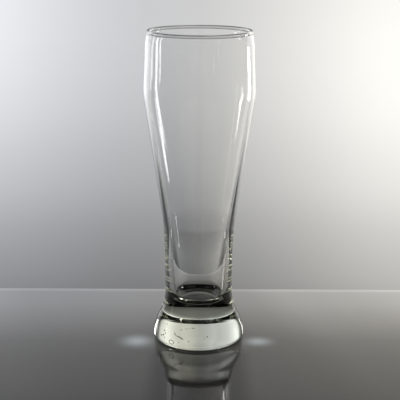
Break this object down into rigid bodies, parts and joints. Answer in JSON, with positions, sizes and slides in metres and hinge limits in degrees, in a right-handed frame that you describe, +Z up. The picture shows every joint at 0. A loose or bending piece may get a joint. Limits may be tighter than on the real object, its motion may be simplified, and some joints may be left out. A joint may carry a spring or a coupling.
{
  "type": "pilsner glass",
  "caption": "Tall clear beer glass with a slim waisted stem, a wide shouldered bowl, a rounded lip and a solid heavy foot.",
  "frame": {"origin": "centre of the resting ring, on the surface that the glass stands on", "axes": "+Z up along the axis of the glass, from its foot to its lip; the glass is round, so +X and +Y are alike"},
  "size_m": [0.0829, 0.083, 0.235],
  "materials": {
    "clear_glass": "clear, fire polished"
  },
  "bodies": {
    "root": {"glass": "clear_glass"}
  },
  "joints": []
}
